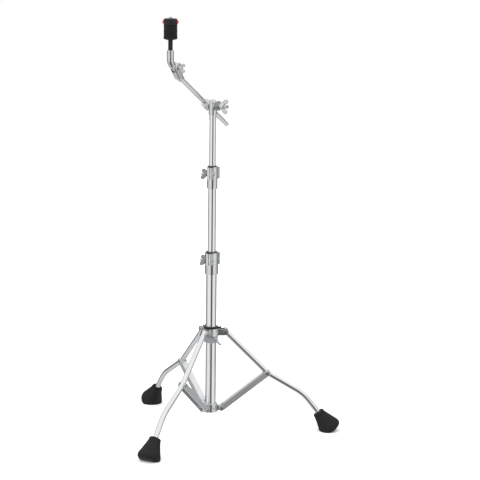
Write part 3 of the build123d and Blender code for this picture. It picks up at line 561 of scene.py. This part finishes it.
class STAND_OT_toothed_washer(bpy.types.Operator):
    """The tilter's pressure washer: a neck, a thin disc with teeth round it, and a cone under the wing nut"""

    bl_idname = "stand.toothed_washer"
    bl_label = "Toothed washer"

    def execute(self, context):
        looks = context.scene.stand_finishes
        edge = context.scene.stand_sizes.edge * 0.6
        toothed = cast_chrome("toothed_chrome", shade(looks.casting, 0.5), looks, edge, satin=0.06)
        around, low, high, reach = axis_placement("tilt_washer", "tilt_wing_turn")
        inverse = around.inverted()
        local = [inverse @ vertex.co for vertex in NODES["tilt_washer"].data.vertices]
        bore = min(math.hypot(co.x, co.y) for co in local) + WASHER_GAP
        length = high - low
        neck, disc, cone = reach * 0.60, reach * 0.97, reach * 0.70
        profile = [
            (0.00, bore), (0.00, neck), (0.24, neck * 0.98), (0.31, neck * 1.05), (0.35, disc * 0.95),
            (0.37, disc), (0.60, disc), (0.62, disc * 0.95), (0.66, cone * 1.02), (0.70, cone * 0.96),
            (0.95, cone * 0.84), (1.00, cone * 0.78), (1.00, bore),
        ]
        bm = bmesh.new()
        sides = WASHER_TEETH * 8
        turned_shape(bm, [(low + share * length, radius) for share, radius in profile], around, sides)
        for vert in bm.verts:
            local = inverse @ vert.co
            radius = math.hypot(local.x, local.y)
            if radius > disc * 0.94:
                wave = math.cos(math.atan2(local.y, local.x) * WASHER_TEETH)
                share = 1.0 - 0.055 * (0.5 - 0.5 * max(-1.0, min(1.0, wave * 1.8)))
                vert.co = around @ Vector((local.x * share, local.y * share, local.z))
        mesh = skin_of("tilt_washer_toothed", bm)
        mesh.shade_smooth()
        mesh.set_sharp_from_angle(angle=math.radians(32.0))
        add_piece("tilt_washer_toothed", mesh, toothed, "tilter", "tilt_washer")
        return {"FINISHED"}


class STAND_OT_boots(bpy.types.Operator):
    """Flared rubber boots with a rolled rim and a rounded sole"""

    bl_idname = "stand.boots"
    bl_label = "Rubber boots"

    def execute(self, context):
        rubber = boot_rubber("boot_rubber", context.scene.stand_finishes.rubber)
        for leg in LEGS:
            axis = Vector(JOINTS["brace_" + leg + "_swing"]["axis"])
            out = Vector((-axis.y, axis.x, 0.0))
            top = out * BOOT_REACH + Vector((0, 0, BOOT_TOP))
            down = (out * math.sin(BOOT_LEAN) - Vector((0, 0, math.cos(BOOT_LEAN)))).normalized()
            facing = Matrix((axis.cross(down), axis, down)).transposed().to_4x4()
            bm = bmesh.new()
            turned_shape(bm, BOOT_PROFILE, Matrix.Translation(top) @ facing, 96)
            self.cut_sole(bm)
            name = "boot_" + leg
            mesh = skin_of(name + "_moulded", bm)
            mesh.shade_smooth()
            add_piece(name + "_moulded", mesh, rubber, "leg_" + leg + "_body", name)
        return {"FINISHED"}

    def cut_sole(self, bm):
        """Cuts the flare off at the floor and rounds the edge of the cut."""
        everything = bm.verts[:] + bm.edges[:] + bm.faces[:]
        cut = bmesh.ops.bisect_plane(
            bm, geom=everything, plane_co=(0, 0, 0), plane_no=(0, 0, -1), clear_outer=True,
        )
        rim = [item for item in cut["geom_cut"] if isinstance(item, bmesh.types.BMEdge)]
        made = bmesh.ops.edgeloop_fill(bm, edges=rim)
        if not made["faces"]:
            raise RuntimeError("the sole could not be closed")
        bmesh.ops.bevel(
            bm, geom=rim, offset=SOLE_EDGE, offset_type="OFFSET", segments=4, profile=0.5, affect="EDGES",
            clamp_overlap=True,
        )


class STAND_OT_plastics(bpy.types.Operator):
    """Nylon bushes, the ribbed band, the sleeve, the seat cup and the release nut with its buttons"""

    bl_idname = "stand.plastics"
    bl_label = "Plastics"

    def execute(self, context):
        looks = context.scene.stand_finishes
        edge = context.scene.stand_sizes.edge
        black = moulded_nylon("black_nylon", looks.nylon, 0.34, edge)
        give(black, "collar_bush", "lower_tube_plug", "stem_sleeve", "seat_cup", "cymbal_mate")
        # the clamps' bushes take a black nylon six times paler than the rest
        paled = moulded_nylon("paler_black_nylon", shade(looks.nylon, 6.0), 0.30, edge)
        give(paled, "lower_clamp_bush", "upper_clamp_bush")
        grey = moulded_nylon("grey_nylon", looks.ribbed, 0.4, edge * 0.5)
        give(grey, "collar_band")
        red = button_plastic("red_button", looks.button, edge)
        give(red, "button_right", "button_left")
        return {"FINISHED"}


class STAND_OT_felts(bpy.types.Operator):
    """The two felts, with a matted surface and softened corners"""

    bl_idname = "stand.felts"
    bl_label = "Felts"

    def execute(self, context):
        wool = pressed_felt("pressed_felt", context.scene.stand_finishes.felt)
        fuzz = context.scene.stand_sizes.fuzz
        for node, body in (("lower_felt", "stem"), ("upper_felt", "felt_above")):
            low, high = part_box(node)
            centre = (low + high) / 2
            inner = min(math.hypot(v.co.x - centre.x, v.co.y - centre.y) for v in NODES[node].data.vertices)
            # the fibres stand out by fuzz, so the body of the felt is that much smaller all round
            hole = inner + fuzz
            wide = (high.x - low.x) / 2 - fuzz
            bm = bmesh.new()
            profile = self.rounded_profile(high.z - low.z, hole, wide, fuzz)
            turned_shape(bm, profile, Matrix.Translation((centre.x, centre.y, low.z)), 180)
            for vert in bm.verts:
                outwards = Vector((vert.co.x - centre.x, vert.co.y - centre.y, 0.0))
                if outwards.length > wide * 0.9:
                    lift = noise.noise(vert.co * 900.0) * 0.6 + noise.noise(vert.co * 2600.0) * 0.4
                    vert.co += outwards.normalized() * (lift * fuzz)
            mesh = skin_of(node + "_pressed", bm)
            mesh.shade_smooth()
            piece = add_piece(node + "_pressed", mesh, wool, body, node)
        return {"FINISHED"}

    def rounded_profile(self, tall, hole, wide, fuzz):
        """A felt's section: flat faces, round corners and a side that is pressed in a little."""
        inside = wide - FELT_CORNER
        corner = []
        for step in range(1, CORNER_STEPS):
            angle = math.pi / 2 * step / CORNER_STEPS
            rise = FELT_CORNER * (1 - math.cos(angle))
            corner.append((fuzz + rise, wide - FELT_CORNER * (1 - math.sin(angle))))
        profile = [(FELT_CORNER * 0.4, hole), (fuzz, hole + FELT_CORNER * 0.6), (fuzz, inside), *corner]
        rows = max(6, round(tall / FELT_ROW))
        for step in range(rows + 1):
            share = step / rows
            height = FELT_CORNER + fuzz + (tall - 2 * FELT_CORNER - 2 * fuzz) * share
            profile.append((height, wide - FELT_WAIST * math.sin(share * math.pi)))
        profile += [(tall - height, radius) for height, radius in reversed(corner)]
        profile += [(tall - fuzz, inside), (tall - fuzz, hole + FELT_CORNER * 0.6)]
        return [*profile, (tall - FELT_CORNER * 0.4, hole)]


class STAND_OT_stage(bpy.types.Operator):
    """A pale floor, soft studio light and the camera"""

    bl_idname = "stand.stage"
    bl_label = "Floor, light and camera"

    def execute(self, context):
        self.make_floor()
        self.make_world(context.scene)
        self.make_lights()
        self.make_camera(context.scene)
        context.scene.view_settings.view_transform = "Standard"
        return {"FINISHED"}

    def make_floor(self):
        mesh = bpy.data.meshes.new("floor")
        bm = bmesh.new()
        bmesh.ops.create_circle(bm, cap_ends=True, segments=128, radius=6.0)
        bm.to_mesh(mesh)
        bm.free()
        floor = bpy.data.objects.new("floor", mesh)
        bpy.context.scene.collection.objects.link(floor)
        f = new_finish("pale_floor")
        pale = f.tint(f.noise(3.0, 4.0), (0.90, 0.90, 0.90), (0.93, 0.93, 0.93))
        mesh.materials.append(f.surface(Base_Color=pale, Roughness=0.9, Specular_IOR_Level=0.1))
        floor.visible_glossy = False

    def make_world(self, scene):
        """White where it is seen; for reflections a white room with dark openings and a grey floor."""
        world = bpy.data.worlds.new("studio")
        scene.world = world
        f = Finish(world)
        way = f.node("ShaderNodeTexCoord", output="Generated")
        x, y, z = (f.node("ShaderNodeSeparateXYZ", {}, {"Vector": way}, part) for part in "XYZ")
        # the turn goes once round from behind the stand, by its left, with its front at 0.5
        turn = f.node("ShaderNodeMath", {"operation": "ARCTAN2"}, {0: x, 1: 0 - y}) / (2 * math.pi) + 0.5
        walls = f.ramp(turn, [
            (0.0, 0.85), (0.04, 0.80), (0.08, 0.22), (0.16, 0.22), (0.24, 0.66), (0.32, 1.0),
            (0.452, 1.0), (0.474, 0.34), (0.494, 0.12), (0.548, 0.12), (0.572, 0.40), (0.598, 1.0),
            (0.69, 1.0), (0.76, 0.66), (0.84, 0.22), (0.92, 0.22), (0.96, 0.80), (1.0, 0.85),
        ])
        height = z * 0.5 + 0.5
        rise = f.ramp(height, [(0.0, 0.0), (0.52, 0.0), (0.62, 0.15), (0.80, 1.0)])
        sink = f.ramp(height, [(0.0, 1.0), (0.25, 1.0), (0.35, 0.0), (1.0, 0.0)])
        room = walls * (1 - rise) + rise * 1.05
        ground = f.ramp(turn, [
            (0.0, 0.55), (0.20, 0.72), (0.33, 0.70), (0.42, 0.32), (0.48, 0.16), (0.56, 0.16), (0.63, 0.40),
            (0.70, 0.78), (0.85, 0.74), (1.0, 0.55),
        ])
        room = room * (1 - sink) + sink * ground
        seen = f.node("ShaderNodeLightPath", output="Is Camera Ray")
        glow = room * (1 - seen) + seen * 1.0
        shader = f.node("ShaderNodeBackground", {}, {"Color": glow, "Strength": 1.0})
        f.node("ShaderNodeOutputWorld", {}, {"Surface": shader})

    def make_lights(self):
        """One very broad lamp high on the left, which leaves only a breath of shadow round the boots."""
        light = bpy.data.lights.new("broad_softbox", "SUN")
        light.angle = math.radians(120.0)
        light.energy = 2.6
        lamp = bpy.data.objects.new("broad_softbox", light)
        lamp.rotation_euler = (math.radians(24.0), math.radians(-18.0), 0.0)
        lamp.visible_glossy = False
        bpy.context.scene.collection.objects.link(lamp)

    def make_camera(self, scene):
        sizes = scene.stand_sizes
        data = bpy.data.cameras.new("camera")
        data.sensor_width = 36.0
        data.lens = sizes.lens
        data.clip_end = 100.0
        camera = bpy.data.objects.new("camera", data)
        scene.collection.objects.link(camera)
        place = Matrix.Translation((sizes.camera_side, -sizes.camera_distance, sizes.camera_height))
        tilt = Matrix.Rotation(math.pi / 2 - sizes.camera_pitch, 4, "X")
        roll = Matrix.Rotation(sizes.camera_roll, 4, "Z")
        camera.matrix_world = place @ tilt @ roll
        scene.camera = camera


class STAND_PT_panel(bpy.types.Panel):
    """The stand's pieces, in the order they are made"""

    bl_idname = "STAND_PT_panel"
    bl_label = "Cymbal boom stand"
    bl_space_type = "VIEW_3D"
    bl_region_type = "UI"
    bl_category = "Stand"

    def draw(self, context):
        for group in (context.scene.stand_finishes, context.scene.stand_sizes):
            for name in group.bl_rna.properties.keys():
                if name not in ("rna_type", "name"):
                    self.layout.prop(group, name)
        for operator in OPERATORS:
            self.layout.operator(operator.bl_idname)


OPERATORS = (
    STAND_OT_tubes, STAND_OT_castings, STAND_OT_hardware, STAND_OT_wing_nuts, STAND_OT_toothed_washer,
    STAND_OT_boots, STAND_OT_plastics, STAND_OT_felts, STAND_OT_stage,
)
CLASSES = (StandFinishes, StandSizes, *OPERATORS, STAND_PT_panel)


def register():
    for kind in CLASSES:
        bpy.utils.register_class(kind)
    bpy.types.Scene.stand_finishes = PointerProperty(type=StandFinishes)
    bpy.types.Scene.stand_sizes = PointerProperty(type=StandSizes)


def unregister():
    del bpy.types.Scene.stand_sizes
    del bpy.types.Scene.stand_finishes
    for kind in reversed(CLASSES):
        bpy.utils.unregister_class(kind)


def main():
    register()
    for operator in OPERATORS:
        group, name = operator.bl_idname.split(".")
        getattr(getattr(bpy.ops, group), name)()


if __name__ == "__main__":
    main()
